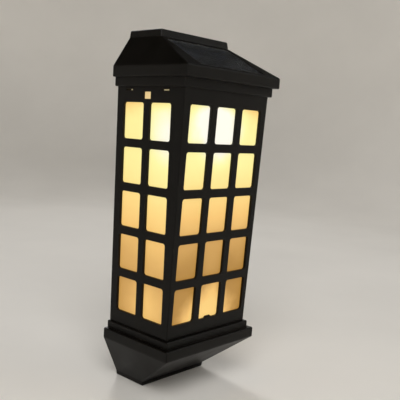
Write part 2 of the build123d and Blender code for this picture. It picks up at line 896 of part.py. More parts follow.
leaf_root = holder_left + contact_thick
leaf_tip = -cell_length / 2
leaf_half = contact_width / 2
with BuildPart() as battery_leaf:
    with BuildSketch(Plane.YZ.offset(holder_left)):
        with Locations((battery_centre, contact_low)):
            Rectangle(contact_width, contact_high - contact_low, align=(Align.CENTER, Align.MIN))
    extrude(amount=contact_thick)
    # Bowed spring tongue that presses on the flat end of the cell
    with BuildSketch(Plane.XY.offset(battery_axis - leaf_half / 2)):
        with BuildLine():
            ThreePointArc(
                (leaf_root, battery_centre - leaf_half),
                (leaf_tip, battery_centre),
                (leaf_root, battery_centre + leaf_half),
            )
            Line((leaf_root, battery_centre + leaf_half), (leaf_root, battery_centre + leaf_half - contact_thick))
            ThreePointArc(
                (leaf_root, battery_centre + leaf_half - contact_thick),
                (leaf_tip - contact_thick, battery_centre),
                (leaf_root, battery_centre - leaf_half + contact_thick),
            )
            Line((leaf_root, battery_centre - leaf_half + contact_thick), (leaf_root, battery_centre - leaf_half))
        make_face()
    extrude(amount=leaf_half)
battery_leaf.part.label = "battery_leaf"
export_step(battery_leaf.part, "parts/battery_leaf.step")

# Slide switch behind the recess in the back wall, shown at ON
with BuildPart() as switch_case:
    with BuildSketch(Plane.XZ.offset(-switch_seat)):
        with Locations((0, switch_level)):
            Rectangle(switch_case_width, switch_case_height)
    extrude(amount=switch_case_depth)
    with BuildSketch(Plane.XZ.offset(-switch_seat)):
        with Locations((0, switch_level)):
            Rectangle(slider_slot_width, slider_slot_height)
    extrude(amount=knob_root + slide_gap, mode=Mode.SUBTRACT)
switch_case.part.label = "switch_case"
export_step(switch_case.part, "parts/switch_case.step")

with BuildPart() as switch_knob:
    with BuildSketch(Plane.XZ.offset(knob_sink)):
        with Locations((-knob_travel / 2, switch_level)):
            Rectangle(knob_width, knob_height)
    extrude(amount=knob_root - switch_seat - knob_sink)
switch_knob.part.label = "switch_knob"
export_step(switch_knob.part, "parts/switch_knob.step")


# Wires: each runs from a contact or a terminal, then straight down to a pad on the circuit board
def wire(points):
    """An eight-sided wire along straight runs."""
    with BuildPart() as strand:
        with BuildLine() as route:
            Polyline(*points)
        with BuildSketch(Plane(origin=route.line @ 0, z_dir=route.line % 0)):
            RegularPolygon(wire_radius, 8)
        sweep(transition=Transition.RIGHT)
    return strand.part


board_underside = slope_plane.offset(board_level)
pad_row = circuit_centre + circuit_length / 2 - wire_inset
contact_middle = contact_thick / 2
contact_level = (tray_top + holder_depth + contact_high) / 2


def panel_wire_route(x):
    """From the back of the solar board, square to it, then down to the circuit board."""
    start = board_underside.from_local_coords((x, 0, 0))
    knee = board_underside.from_local_coords((x, 0, -panel_wire_run))
    return [start, knee, (x, knee.Y, circuit_top)]


def battery_wire_route(x):
    """From the front edge of a battery contact, forward, then down to the circuit board."""
    contact_edge = battery_centre - contact_width / 2
    return [(x, contact_edge, contact_level), (x, pad_row, contact_level), (x, pad_row, circuit_top)]


wires = {
    "panel_wire_red": panel_wire_route(panel_wire_half),
    "panel_wire_black": panel_wire_route(-panel_wire_half),
    "battery_wire_red": battery_wire_route(holder_right - contact_middle),
    "battery_wire_black": battery_wire_route(holder_left + contact_middle),
}
for name, route_points in wires.items():
    strand = wire(route_points)
    strand.label = name
    export_step(strand, f"parts/{name}.step")

switch_back = switch_seat - switch_case_depth
with BuildPart() as switch_wires:
    for x in (-switch_wire_half, switch_wire_half):
        add(wire([(x, switch_back, switch_level), (x, pad_row, switch_level), (x, pad_row, circuit_top)]))
switch_wires.part.label = "switch_wires"
export_step(switch_wires.part, "parts/switch_wires.step")
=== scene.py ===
from math import cos, pi, radians, sin, tan

import bmesh
import bpy
from mathutils import Matrix, Vector


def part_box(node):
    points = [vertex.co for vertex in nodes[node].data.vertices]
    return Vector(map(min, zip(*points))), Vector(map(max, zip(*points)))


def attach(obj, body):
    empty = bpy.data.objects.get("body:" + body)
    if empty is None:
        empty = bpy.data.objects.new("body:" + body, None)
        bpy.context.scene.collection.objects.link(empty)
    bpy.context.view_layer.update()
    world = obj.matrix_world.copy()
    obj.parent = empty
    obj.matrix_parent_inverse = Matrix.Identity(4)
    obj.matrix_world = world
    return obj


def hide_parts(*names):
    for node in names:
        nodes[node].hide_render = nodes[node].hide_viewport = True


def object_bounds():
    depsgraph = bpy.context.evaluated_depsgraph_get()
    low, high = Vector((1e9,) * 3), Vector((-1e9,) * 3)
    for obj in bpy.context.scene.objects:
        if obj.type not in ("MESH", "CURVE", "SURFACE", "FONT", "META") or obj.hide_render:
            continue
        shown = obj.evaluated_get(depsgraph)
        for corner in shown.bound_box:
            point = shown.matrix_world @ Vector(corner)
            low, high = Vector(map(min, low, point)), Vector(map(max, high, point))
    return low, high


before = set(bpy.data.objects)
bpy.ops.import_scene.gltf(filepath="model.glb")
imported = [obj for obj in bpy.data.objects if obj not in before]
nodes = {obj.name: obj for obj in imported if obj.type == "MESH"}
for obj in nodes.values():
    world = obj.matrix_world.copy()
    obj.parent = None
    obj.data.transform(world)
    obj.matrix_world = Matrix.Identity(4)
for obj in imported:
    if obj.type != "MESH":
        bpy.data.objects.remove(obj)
cad_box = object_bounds()


# Lattice frame: the front wall and two side walls with five rows of windows, one moulding in black ABS.
# The spark-eroded tool leaves a satin grain on it, and every edge has a small radius that catches the light.
mm = 0.001


def linear(hex_colour):
    """An sRGB hex colour as linear RGBA."""
    parts = [int(hex_colour[i : i + 2], 16) / 255 for i in (1, 3, 5)]
    return [c / 12.92 if c <= 0.04045 else ((c + 0.055) / 1.055) ** 2.4 for c in parts] + [1.0]


def add_node(tree, kind, settings=(), links=()):
    """A new shader node with its properties, socket values and colour stops, and its links by socket."""
    node = tree.nodes.new(kind)
    for name, value in dict(settings).items():
        if name == "stops":
            elements = node.color_ramp.elements
            while len(elements) < len(value):
                elements.new(1.0)
            for element, (position, hex_colour) in zip(elements, value):
                element.position = position
                element.color = linear(hex_colour)
        elif isinstance(name, str) and hasattr(node, name):
            setattr(node, name, value)
        else:
            node.inputs[name].default_value = value
    for name, source in dict(links).items():
        tree.links.new(source, node.inputs[name])
    return node


def start_material(name):
    """A new material, its node tree, its Principled shader and its Object coordinates."""
    material = bpy.data.materials.new(name)
    material.use_nodes = True
    tree = material.node_tree
    place = add_node(tree, "ShaderNodeTexCoord").outputs["Object"]
    return material, tree, tree.nodes["Principled BSDF"], place


def dress(material, *names):
    """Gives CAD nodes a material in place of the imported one."""
    for name in names:
        nodes[name].data.materials.clear()
        nodes[name].data.materials.append(material)


def add_piece(name, shape, materials, body, slot, *stands_for, rounded=()):
    """Makes a bmesh an object on a body in place of CAD nodes, with all or only its rounded faces smooth."""
    crease_angle = radians(38)  # edges that turn further stay crisp
    bmesh.ops.recalc_face_normals(shape, faces=shape.faces)
    for face in shape.faces:
        face.smooth = not rounded or face in rounded
    for edge in shape.edges:
        edge.smooth = edge.is_manifold and edge.calc_face_angle() < crease_angle
    data = bpy.data.meshes.new(name)
    shape.to_mesh(data)
    shape.free()
    for material in materials:
        data.materials.append(material)
    piece = bpy.data.objects.new(name, data)
    bpy.context.scene.collection.objects.link(piece)
    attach(piece, body)
    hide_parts(*stands_for)


# Black ABS as moulded: near black and a little warm, satin, with edges painted a shade lighter, partly as
# rubbed wear and partly as a painted highlight.
black_abs, tree, shader, place = start_material("black_abs_moulded")
grain_size = 1.1 * mm  # the real grain is about 0.1 mm, drawn coarser so that it shows
flow_size = 28 * mm
edge_radius = 0.45 * mm
wear_and_highlight_reach = 1.0 * mm
edge_samples = 4
# The edges' lighter tone is partly rubbed wear and partly a painted highlight.
wear_and_highlight_start = 0.99  # cosine between the face and its rounded edge where the rub begins
wear_and_highlight_full = 0.75
wear_and_highlight_gain = 0.3
noise_low = 0.3  # nearly all values of a noise lie between these two
noise_high = 0.7
grain = add_node(tree, "ShaderNodeTexNoise", {"Scale": 1 / grain_size, "Detail": 2.0}, {"Vector": place})
flow = add_node(tree, "ShaderNodeTexNoise", {"Scale": 1 / flow_size, "Detail": 3.0}, {"Vector": place})
face_normal = add_node(tree, "ShaderNodeNewGeometry").outputs["Normal"]
round_edge = add_node(tree, "ShaderNodeBevel", {"samples": edge_samples, "Radius": wear_and_highlight_reach})
flatness = add_node(
    tree,
    "ShaderNodeVectorMath",
    {"operation": "DOT_PRODUCT"},
    {0: face_normal, 1: round_edge.outputs["Normal"]},
)
edge_wear_and_highlight = add_node(
    tree,
    "ShaderNodeMapRange",
    {"From Min": wear_and_highlight_start, "From Max": wear_and_highlight_full, "To Min": 0.0, "To Max": wear_and_highlight_gain},
    {"Value": flatness.outputs["Value"]},
)
flow_wear_and_highlight = add_node(
    tree,
    "ShaderNodeMath",
    {"operation": "ADD"},
    {0: flow.outputs["Fac"], 1: edge_wear_and_highlight.outputs["Result"]},
)
# The last stop is the edges' colour: rubbed wear and a painted highlight together.
tone = add_node(
    tree,
    "ShaderNodeValToRGB",
    {"stops": ((noise_low, "#050402"), (noise_high, "#0C0906"), (1.0, "#2A221A"))},
    {"Fac": flow_wear_and_highlight.outputs[0]},
)
satin = add_node(
    tree,
    "ShaderNodeMapRange",
    {"From Min": noise_low, "From Max": noise_high, "To Min": 0.36, "To Max": 0.48},
    {"Value": flow.outputs["Fac"]},
)
soft_edge = add_node(tree, "ShaderNodeBevel", {"samples": edge_samples, "Radius": edge_radius})
pitted = add_node(
    tree,
    "ShaderNodeBump",
    {"Strength": 0.12, "Distance": 0.05 * mm},
    {"Height": grain.outputs["Fac"], "Normal": soft_edge.outputs["Normal"]},
)
tree.links.new(tone.outputs["Color"], shader.inputs["Base Color"])
tree.links.new(satin.outputs["Result"], shader.inputs["Roughness"])
tree.links.new(pitted.outputs["Normal"], shader.inputs["Normal"])
shader.inputs["IOR"].default_value = 1.53
shader.inputs["Specular IOR Level"].default_value = 0.14

# Openings: a copy of the node gets the small radius that the tool leaves round each opening's outer edge
opening_radius = 0.4 * mm
merge_reach = 0.002 * mm
wall_reach = 10 * merge_reach
flat_angle = radians(0.5)  # triangles that turn less than this against each other become one face
rim_angle = radians(60)
facing_limit = 0.95
lattice = bmesh.new()
lattice.from_mesh(nodes["lattice_frame"].data)
bmesh.ops.remove_doubles(lattice, verts=lattice.verts, dist=merge_reach)
bmesh.ops.dissolve_limit(lattice, angle_limit=flat_angle, verts=lattice.verts, edges=lattice.edges)
rims = []
for facing in (Vector((0, -1, 0)), Vector((-1, 0, 0)), Vector((1, 0, 0))):
    turned_out = [
        face
        for face in lattice.faces
        if face.normal.dot(facing) > facing_limit and face.calc_center_median().dot(facing) > 0
    ]
    wall = max(turned_out, key=lambda face: face.calc_area())
    wall_point = wall.verts[0].co
    for edge in lattice.edges:
        off_wall = max(abs(wall.normal.dot(vertex.co - wall_point)) for vertex in edge.verts)
        if off_wall < wall_reach and edge.is_convex and edge.calc_face_angle() > rim_angle:
            rims.append(edge)
rounding = bmesh.ops.bevel(
    lattice,
    geom=rims,
    offset=opening_radius,
    offset_type="OFFSET",
    affect="EDGES",
    segments=3,
    profile=0.5,
    material=-1,
    clamp_overlap=False,
)
bmesh.ops.remove_doubles(lattice, verts=lattice.verts, dist=merge_reach)
add_piece(
    "moulded_lattice",
    lattice,
    [black_abs],
    "lantern",
    "black_plastic",
    "lattice_frame",
    rounded={face for face in rounding["faces"] if face.is_valid},
)


# Panes: frosted cream polystyrene sheets that stand on lugs behind the lattice and spread the lamp's light.
# The lamp's light on them is painted into their glow: palest beside the lamp, amber lower down, and brighter
# again over the white floor plate. A tab on each side pane springs into the square hole over the side
# windows, where the painted light is duller and paler.
def frosted_pane(name, across, low_height, high_height, low_glow, high_glow, front_gain, spots):
    """Frosted sheet with a painted glow that falls with the height, and painted soft spots of light and shade
    given by place, reach and gain.
    """
    material, tree, shader, place = start_material(name)
    axes = add_node(tree, "ShaderNodeSeparateXYZ", {}, {"Vector": place})
    fall = add_node(
        tree,
        "ShaderNodeMapRange",
        {
            "interpolation_type": "SMOOTHSTEP",
            "From Min": low_height,
            "From Max": high_height,
            "To Min": low_glow,
            "To Max": high_glow,
        },
        {"Value": axes.outputs["Z"]},
    )
    shade_start = 12 * mm  # the collar shades the top of the panes
    shade_end = 26 * mm
    shade_gain = -0.2
    collar_shade = add_node(
        tree,
        "ShaderNodeMapRange",
        {
            "interpolation_type": "SMOOTHSTEP",
            "From Min": shade_start,
            "From Max": shade_end,
            "To Min": 0.0,
            "To Max": shade_gain,
        },
        {"Value": axes.outputs["Z"]},
    )
    rear_edge = -12 * mm
    front_edge = -56 * mm
    towards_front = add_node(
        tree,
        "ShaderNodeMapRange",
        {"From Min": rear_edge, "From Max": front_edge, "To Min": 0.0, "To Max": front_gain},
        {"Value": axes.outputs["Y"]},
    )
    cloud_size = 20 * mm
    cloud_gain = 0.02
    ragged_reach = 5 * mm  # the clouds pull the edges of the spots in and out by this much
    clouds = add_node(tree, "ShaderNodeTexNoise", {"Scale": 1 / cloud_size, "Detail": 3.0}, {"Vector": place})
    uneven = add_node(
        tree,
        "ShaderNodeMapRange",
        {"From Min": noise_low, "From Max": noise_high, "To Min": -cloud_gain, "To Max": cloud_gain},
        {"Value": clouds.outputs["Fac"]},
    )
    wander = add_node(
        tree,
        "ShaderNodeMapRange",
        {"From Min": noise_low, "From Max": noise_high, "To Min": -ragged_reach, "To Max": ragged_reach},
        {"Value": clouds.outputs["Fac"]},
    )
    flat_place = add_node(
        tree,
        "ShaderNodeCombineXYZ",
        {},
        {"X": axes.outputs[across], "Y": axes.outputs["Z"]},
    )
    parts = [collar_shade.outputs["Result"], towards_front.outputs["Result"], uneven.outputs["Result"]]
    for spot_across, spot_height, full_reach, reach, gain in spots:
        distance = add_node(
            tree,
            "ShaderNodeVectorMath",
            {"operation": "DISTANCE", 1: (spot_across, spot_height, 0.0)},
            {0: flat_place.outputs[0]},
        )
        ragged = add_node(
            tree,
            "ShaderNodeMath",
            {"operation": "ADD"},
            {0: distance.outputs["Value"], 1: wander.outputs["Result"]},
        )
        spot = add_node(
            tree,
            "ShaderNodeMapRange",
            {
                "interpolation_type": "SMOOTHSTEP",
                "From Min": full_reach,
                "From Max": reach,
                "To Min": gain,
                "To Max": 0.0,
            },
            {"Value": ragged.outputs[0]},
        )
        parts.append(spot.outputs["Result"])
    glow = fall.outputs["Result"]
    for part in parts:
        glow = add_node(tree, "ShaderNodeMath", {"operation": "ADD"}, {0: glow, 1: part}).outputs[0]
    colour = add_node(
        tree,
        "ShaderNodeValToRGB",
        {
            "stops": (
                (0.0, "#9E702C"),
                (0.2, "#CC9C56"),
                (0.4, "#EFC070"),
                (0.6, "#FDDB88"),
                (0.76, "#FDF2A0"),
                (0.82, "#FEF9AA"),
                (0.88, "#FEFCC4"),
                (1.0, "#FDFEF6"),
            )
        },
        {"Fac": glow},
    )
    tab_start = 21 * mm  # above the windows only the tabs show
    tab_end = 22.5 * mm
    tab_share = 0.85
    # The tabs' duller light is painted by mixing the glow towards a pale beige.
    above_windows = add_node(
        tree,
        "ShaderNodeMapRange",
        {"From Min": tab_start, "From Max": tab_end, "To Min": 0.0, "To Max": tab_share},
        {"Value": axes.outputs["Z"]},
    )
    # A Mix node's colours go in by sockets 6 and 7 and come out by 2
    paled = add_node(
        tree,
        "ShaderNodeMix",
        {"data_type": "RGBA", 7: linear("#DCC290")},
        {0: above_windows.outputs["Result"], 6: colour.outputs["Color"]},
    )
    frost_size = 2.0 * mm  # frost is far finer, drawn coarser so that it shows
    frost = add_node(tree, "ShaderNodeTexNoise", {"Scale": 1 / frost_size, "Detail": 2.0}, {"Vector": place})
    frosted = add_node(
        tree,
        "ShaderNodeBump",
        {"Strength": 0.1, "Distance": 0.05 * mm},
        {"Height": frost.outputs["Fac"]},
    )
    tree.links.new(paled.outputs[2], shader.inputs["Emission Color"])
    tree.links.new(frosted.outputs["Normal"], shader.inputs["Normal"])
    # The sheet's own colour is set darker than cream, so the lamps add little on top of its painted glow.
    shader.inputs["Base Color"].default_value = linear("#7A6234")
    shader.inputs["Roughness"].default_value = 0.6
    shader.inputs["IOR"].default_value = 1.59
    shader.inputs["Emission Strength"].default_value = 0.89
    return material


# Frosted polystyrene with its light from behind painted in as a glow: a soft cream light that pales to white
# where the lamp is near.
front_glow = frosted_pane(
    "frosted_polystyrene_front",
    "X",
    low_height=-120 * mm,
    high_height=-12 * mm,
    low_glow=-0.05,
    high_glow=0.78,
    front_gain=0.0,
    spots=(  # place across, height, reach of the full gain, whole reach, gain
        (-7 * mm, 6 * mm, 0.0, 41 * mm, 0.38),
        (46 * mm, 30 * mm, 0.0, 32 * mm, -0.18),
        (0.0, -106 * mm, 4 * mm, 22 * mm, 0.07),
        (0.0, -150 * mm, 17 * mm, 43 * mm, 0.53),
    ),
)
side_glow = frosted_pane(
    "frosted_polystyrene_side",
    "Y",
    low_height=-125 * mm,
    high_height=-15 * mm,
    low_glow=0.11,
    high_glow=0.74,
    front_gain=0.08,
    spots=(
        (-55 * mm, -2 * mm, 0.0, 34 * mm, 0.17),
        (-4 * mm, 28 * mm, 0.0, 30 * mm, -0.18),
        (-37 * mm, -134 * mm, 5 * mm, 30 * mm, 0.2),
    ),
)
dress(front_glow, "front_pane")
dress(side_glow, "left_pane", "right_pane")

# Back plate: the black ABS sheet that closes the lantern at the wall, welded to two ribs of the frame.
# A white polystyrene sheet is glued to its inside and throws the light forward, round the two screw pockets.
dress(black_abs, "back_plate")


def moulded_plastic(name, dark, light, patch, roughness, pit):
    """A moulded or extruded plastic: two close tones in soft patches, an uneven gloss and fine pits."""
    unevenness = 0.05
    material, tree, shader, place = start_material(name)
    patches = add_node(tree, "ShaderNodeTexNoise", {"Scale": 1 / patch, "Detail": 3.0}, {"Vector": place})
    tone = add_node(
        tree,
        "ShaderNodeValToRGB",
        {"stops": ((noise_low, dark), (noise_high, light))},
        {"Fac": patches.outputs["Fac"]},
    )
    sheen = add_node(
        tree,
        "ShaderNodeMapRange",
        {
            "From Min": noise_low,
            "From Max": noise_high,
            "To Min": roughness - unevenness,
            "To Max": roughness + unevenness,
        },
        {"Value": patches.outputs["Fac"]},
    )
    pits = add_node(tree, "ShaderNodeTexNoise", {"Scale": 1 / pit, "Detail": 2.0}, {"Vector": place})
    pitted = add_node(
        tree,
        "ShaderNodeBump",
        {"Strength": 0.1, "Distance": 0.03 * mm},
        {"Height": pits.outputs["Fac"]},
    )
    tree.links.new(tone.outputs["Color"], shader.inputs["Base Color"])
    tree.links.new(sheen.outputs["Result"], shader.inputs["Roughness"])
    tree.links.new(pitted.outputs["Normal"], shader.inputs["Normal"])
    shader.inputs["IOR"].default_value = 1.5
    return material


# White polystyrene sheet: a flat, bright white with a faint waxy cloud, and a faint painted glow for the
# lamp's light on it.
white_sheet = moulded_plastic(
    "white_polystyrene_sheet", "#E4E1D6", "#F4F2EA", patch=9 * mm, roughness=0.5, pit=0.9 * mm
)
# The lamp's light on the sheet is painted as a faint glow.
lit_sheet = white_sheet.node_tree.nodes["Principled BSDF"]
lit_sheet.inputs["Emission Color"].default_value = linear("#EDE9E2")
lit_sheet.inputs["Emission Strength"].default_value = 0.04
dress(white_sheet, "back_reflector")

# Base: the step, lip, taper and foot are one hollow moulding in the same black ABS as the frame.
# The lantern stands in its socket, on a loose white floor plate that reflects the light upwards.
dress(black_abs, "base_shell")
dress(white_sheet, "floor_plate")


# Base screws: two zinc-plated pan head screws go down through the frame's rear lugs into posts in the base.
# Each is cold-headed with a cross recess, and rolled rings stand for its thread.
def plated_metal(name, dark, light, scratch, roughness):
    """A plated metal: fine scratches in its tone, its gloss and its surface."""
    unevenness = 0.08
    material, tree, shader, place = start_material(name)
    scratches = add_node(tree, "ShaderNodeTexNoise", {"Scale": 1 / scratch, "Detail": 4.0}, {"Vector": place})
    tone = add_node(
        tree,
        "ShaderNodeValToRGB",
        {"stops": ((noise_low, dark), (noise_high, light))},
        {"Fac": scratches.outputs["Fac"]},
    )
    polish = add_node(
        tree,
        "ShaderNodeMapRange",
        {
            "From Min": noise_low,
            "From Max": noise_high,
            "To Min": roughness - unevenness,
            "To Max": roughness + unevenness,
        },
        {"Value": scratches.outputs["Fac"]},
    )
    scored = add_node(
        tree,
        "ShaderNodeBump",
        {"Strength": 0.08, "Distance": 0.02 * mm},
        {"Height": scratches.outputs["Fac"]},
    )
    tree.links.new(tone.outputs["Color"], shader.inputs["Base Color"])
    tree.links.new(polish.outputs["Result"], shader.inputs["Roughness"])
    tree.links.new(scored.outputs["Normal"], shader.inputs["Normal"])
    shader.inputs["Metallic"].default_value = 1.0
    return material


screw_head_radius = 2.3 * mm


def cross_screw(shape, head_top, down):
    """Adds a pan head screw to a bmesh, with the middle of its head's top at a point and its shank below."""
    sides = 20
    crown_radius = 1.75 * mm
    head_height = 1.6 * mm
    cells = 5
    cell = 0.48 * mm  # the recess is one cell wide and five long each way
    recess_depth = 0.9 * mm
    recess_taper = 0.6
    length = 8.8 * mm
    thread_radius = 1.1 * mm
    root_radius = 0.88 * mm
    thread_pitch = 0.8 * mm
    point_radius = 0.2 * mm
    point_length = 2 * mm
    others = set(shape.verts)
    grid = bmesh.ops.create_grid(shape, x_segments=cells, y_segments=cells, size=cells / 2 * cell)
    flat_faces = {face for vertex in grid["verts"] for face in vertex.link_faces}
    square = [edge for edge in shape.edges if edge.is_boundary and edge.verts[0] in set(grid["verts"])]
    circle = bmesh.ops.create_circle(shape, cap_ends=False, segments=sides, radius=crown_radius)
    ring = [edge for edge in shape.edges if edge.is_wire and edge.verts[0] in set(circle["verts"])]
    bmesh.ops.bridge_loops(shape, edges=square + ring)
    # Cross recess: the middle row and column of the square are pushed in and drawn together
    cross = [
        face
        for face in flat_faces
        if min(abs(face.calc_center_median().x), abs(face.calc_center_median().y)) < cell / 2
    ]
    sunk = bmesh.ops.extrude_face_region(shape, geom=cross)
    sunk_vertices = [item for item in sunk["geom"] if isinstance(item, bmesh.types.BMVert)]
    bmesh.ops.translate(shape, verts=sunk_vertices, vec=(0, 0, -recess_depth))
    bmesh.ops.scale(shape, verts=sunk_vertices, vec=(recess_taper, recess_taper, 1.0))
    bmesh.ops.delete(shape, geom=cross, context="FACES")
    # Domed head, shank and point, ring by ring
    rings = [
        (2.1 * mm, 0.22 * mm),
        (screw_head_radius, 0.6 * mm),
        (screw_head_radius, 1.45 * mm),
        (2.2 * mm, head_height),
        (thread_radius, head_height),
    ]
    turn_count = int((length - point_length) / thread_pitch)
    for turn in range(turn_count):
        crest = head_height + (turn + 0.5) * thread_pitch
        rings += [(thread_radius, crest), (root_radius, crest + thread_pitch / 2)]
    rings.append((point_radius, head_height + length))
    radius_now, depth_now = crown_radius, 0.0
    for radius, depth in rings:
        drawn = bmesh.ops.extrude_edge_only(shape, edges=ring)
        drawn_vertices = [item for item in drawn["geom"] if isinstance(item, bmesh.types.BMVert)]
        ring = [item for item in drawn["geom"] if isinstance(item, bmesh.types.BMEdge)]
        factor = radius / radius_now
        bmesh.ops.scale(shape, verts=drawn_vertices, vec=(factor, factor, 1.0))
        bmesh.ops.translate(shape, verts=drawn_vertices, vec=(0, 0, depth_now - depth))
        radius_now, depth_now = radius, depth
    bmesh.ops.contextual_create(shape, geom=ring)
    tilt = Vector((0, 0, -1)).rotation_difference(down).to_matrix().to_4x4()
    own = [vertex for vertex in shape.verts if vertex not in others]
    bmesh.ops.transform(shape, matrix=Matrix.Translation(head_top) @ tilt, verts=own)


# Zinc plate: a soft blue-grey metal with a dull, scratched shine.
zinc_plate = plated_metal("zinc_plated_steel", "#9EA3A6", "#C3C7C9", scratch=0.7 * mm, roughness=0.34)
low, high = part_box("base_screws")
shape = bmesh.new()
for x in (low.x + screw_head_radius, high.x - screw_head_radius):
    cross_screw(shape, Vector((x, (low.y + high.y) / 2, high.z)), Vector((0, 0, -1)))
add_piece("cross_base_screws", shape, [zinc_plate], "lantern", "screw_steel", "base_screws")

# Roof and tray: the hollow hip roof is moulded in black ABS like the frame, and a tray closes it from below.
# The tray carries the collar and the keys that locate the head. Two screws hold it up to posts in the roof.
dress(black_abs, "roof_shell", "head_tray")
low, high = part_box("roof_screws")
shape = bmesh.new()
for x in (low.x + screw_head_radius, high.x - screw_head_radius):
    cross_screw(shape, Vector((x, (low.y + high.y) / 2, low.z)), Vector((0, 0, 1)))
add_piece("cross_roof_screws", shape, [zinc_plate], "solar_head", "screw_steel", "roof_screws")

# Solar panel: eight silicon strips on a black board under clear acrylic, in a seat on the front slope.
# A ring of foam tape sticks the board down and keeps the rain out.

# Black solder mask: a smooth dark lacquer with a slight shine.
black_mask = moulded_plastic(
    "black_solder_mask", "#0B0B0C", "#141416", patch=6 * mm, roughness=0.4, pit=1.2 * mm
)
dress(black_mask, "solar_board")

# Polycrystalline silicon: blue-black flakes under fine printed silver lines.
silicon, tree, shader, place = start_material("polycrystalline_silicon")
strip_count = 8
strip_gap = 0.8 * mm
flake_size = 4 * mm
collector_half = 0.25 * mm
finger_pitch = 1.9 * mm
finger_half = 0.07 * mm
low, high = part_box("solar_cells")
strip_pitch = (high.x - low.x + strip_gap) / strip_count
axes = add_node(tree, "ShaderNodeSeparateXYZ", {}, {"Vector": place})
flakes = add_node(tree, "ShaderNodeTexVoronoi", {"Scale": 1 / flake_size}, {"Vector": place})
flake_tone = add_node(
    tree,
    "ShaderNodeValToRGB",
    {"stops": ((0.0, "#060A14"), (1.0, "#111B33"))},
    {"Fac": flakes.outputs["Color"]},
)
from_gap = add_node(
    tree, "ShaderNodeMath", {"operation": "PINGPONG", 1: strip_pitch / 2}, {0: axes.outputs["X"]}
)
collector = add_node(
    tree,
    "ShaderNodeMath",
    {"operation": "GREATER_THAN", 1: strip_pitch / 2 - collector_half},
    {0: from_gap.outputs[0]},
)
from_finger = add_node(
    tree, "ShaderNodeMath", {"operation": "PINGPONG", 1: finger_pitch / 2}, {0: axes.outputs["Y"]}
)
finger = add_node(
    tree, "ShaderNodeMath", {"operation": "LESS_THAN", 1: finger_half}, {0: from_finger.outputs[0]}
)
silver = add_node(
    tree, "ShaderNodeMath", {"operation": "MAXIMUM"}, {0: collector.outputs[0], 1: finger.outputs[0]}
)
printed = add_node(
    tree,
    "ShaderNodeMix",
    {"data_type": "RGBA", 7: linear("#5E6166")},
    {0: silver.outputs[0], 6: flake_tone.outputs["Color"]},
)
tree.links.new(printed.outputs[2], shader.inputs["Base Color"])
shader.inputs["Roughness"].default_value = 0.3
shader.inputs["Specular IOR Level"].default_value = 0.15
dress(silicon, "solar_cells")

# Clear acrylic: a sheet that shows the cells, with a faintly hazed surface.
clear_acrylic, tree, shader, place = start_material("clear_acrylic_sheet")
haze_size = 14 * mm
haze = add_node(tree, "ShaderNodeTexNoise", {"Scale": 1 / haze_size, "Detail": 3.0}, {"Vector": place})
hazed = add_node(
    tree,
    "ShaderNodeMapRange",
    {"From Min": noise_low, "From Max": noise_high, "To Min": 0.12, "To Max": 0.24},
    {"Value": haze.outputs["Fac"]},
)
tree.links.new(hazed.outputs["Result"], shader.inputs["Roughness"])
shader.inputs["Base Color"].default_value = linear("#E8EEF0")
shader.inputs["Transmission Weight"].default_value = 1.0
shader.inputs["IOR"].default_value = 1.49
shader.inputs["Specular IOR Level"].default_value = 0.12
dress(clear_acrylic, "solar_cover")

# Foam tape: dull black, open and grainy.
foam_tape = moulded_plastic(
    "black_foam_tape", "#141414", "#2C2C2C", patch=0.9 * mm, roughness=0.92, pit=0.5 * mm
)
dress(foam_tape, "panel_gasket")


# Lamp circuit: a small board is staked on the tray, with a warm white lamp that hangs through a hole in it.
# The chip, the drum coil and the capacitor that run the lamp are soldered on top.
def turn_about(shape, outline, centre, axis):
    """Spins an outline, given as radii and distances along an axis that it starts and ends on."""
    steps = 32
    away = axis.orthogonal().normalized()
    places = [centre + away * radius + axis * along for radius, along in outline]
    vertices = [shape.verts.new(place) for place in places]
    edges = [shape.edges.new(pair) for pair in zip(vertices, vertices[1:])]
    bmesh.ops.spin(
        shape, geom=vertices + edges, cent=centre, axis=axis, angle=2 * pi, steps=steps, use_merge=True
    )
    bmesh.ops.remove_doubles(shape, verts=shape.verts, dist=merge_reach)
    shape.normal_update()


# Green solder mask: a glossy lacquer with faint copper shadows.
green_mask = moulded_plastic(
    "green_solder_mask", "#0D3A1E", "#165A2C", patch=5 * mm, roughness=0.3, pit=1.2 * mm
)
dress(green_mask, "control_board")

# Clear epoxy lamp: a warm white lens that is brightest at its domed end.
lamp_epoxy, tree, shader, place = start_material("clear_epoxy_lamp")
low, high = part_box("led_lamp")
axes = add_node(tree, "ShaderNodeSeparateXYZ", {}, {"Vector": place})
along_lamp = add_node(
    tree, "ShaderNodeMapRange", {"From Min": low.z, "From Max": high.z}, {"Value": axes.outputs["Z"]}
)
lamp_tone = add_node(
    tree,
    "ShaderNodeValToRGB",
    {"stops": ((0.0, "#FFF7E0"), (0.5, "#FFE9B0"), (1.0, "#E8B860"))},
    {"Fac": along_lamp.outputs["Result"]},
)
tree.links.new(lamp_tone.outputs["Color"], shader.inputs["Base Color"])
tree.links.new(lamp_tone.outputs["Color"], shader.inputs["Emission Color"])
shader.inputs["Roughness"].default_value = 0.12
shader.inputs["IOR"].default_value = 1.54
shader.inputs["Emission Strength"].default_value = 3.0
lens_radius = (high.x - low.x) / 2
flange_overhang = 0.4 * mm
flange_radius = lens_radius + flange_overhang
flange_thick = 1.0 * mm
lamp_length = high.z - low.z
dome_steps = 8
dome_turns = [step * pi / 2 / dome_steps for step in range(dome_steps + 1)]
dome = [
    (lens_radius * sin(turn), lamp_length - lens_radius + lens_radius * cos(turn)) for turn in dome_turns
]
lens = [(lens_radius, flange_thick), (flange_radius, flange_thick), (flange_radius, 0.0), (0.0, 0.0)]
lamp_seat = Vector(((low.x + high.x) / 2, (low.y + high.y) / 2, high.z))
shape = bmesh.new()
turn_about(shape, dome + lens, lamp_seat, Vector((0, 0, -1)))
add_piece("domed_lamp", shape, [lamp_epoxy], "solar_head", "lamp_clear", "led_lamp")

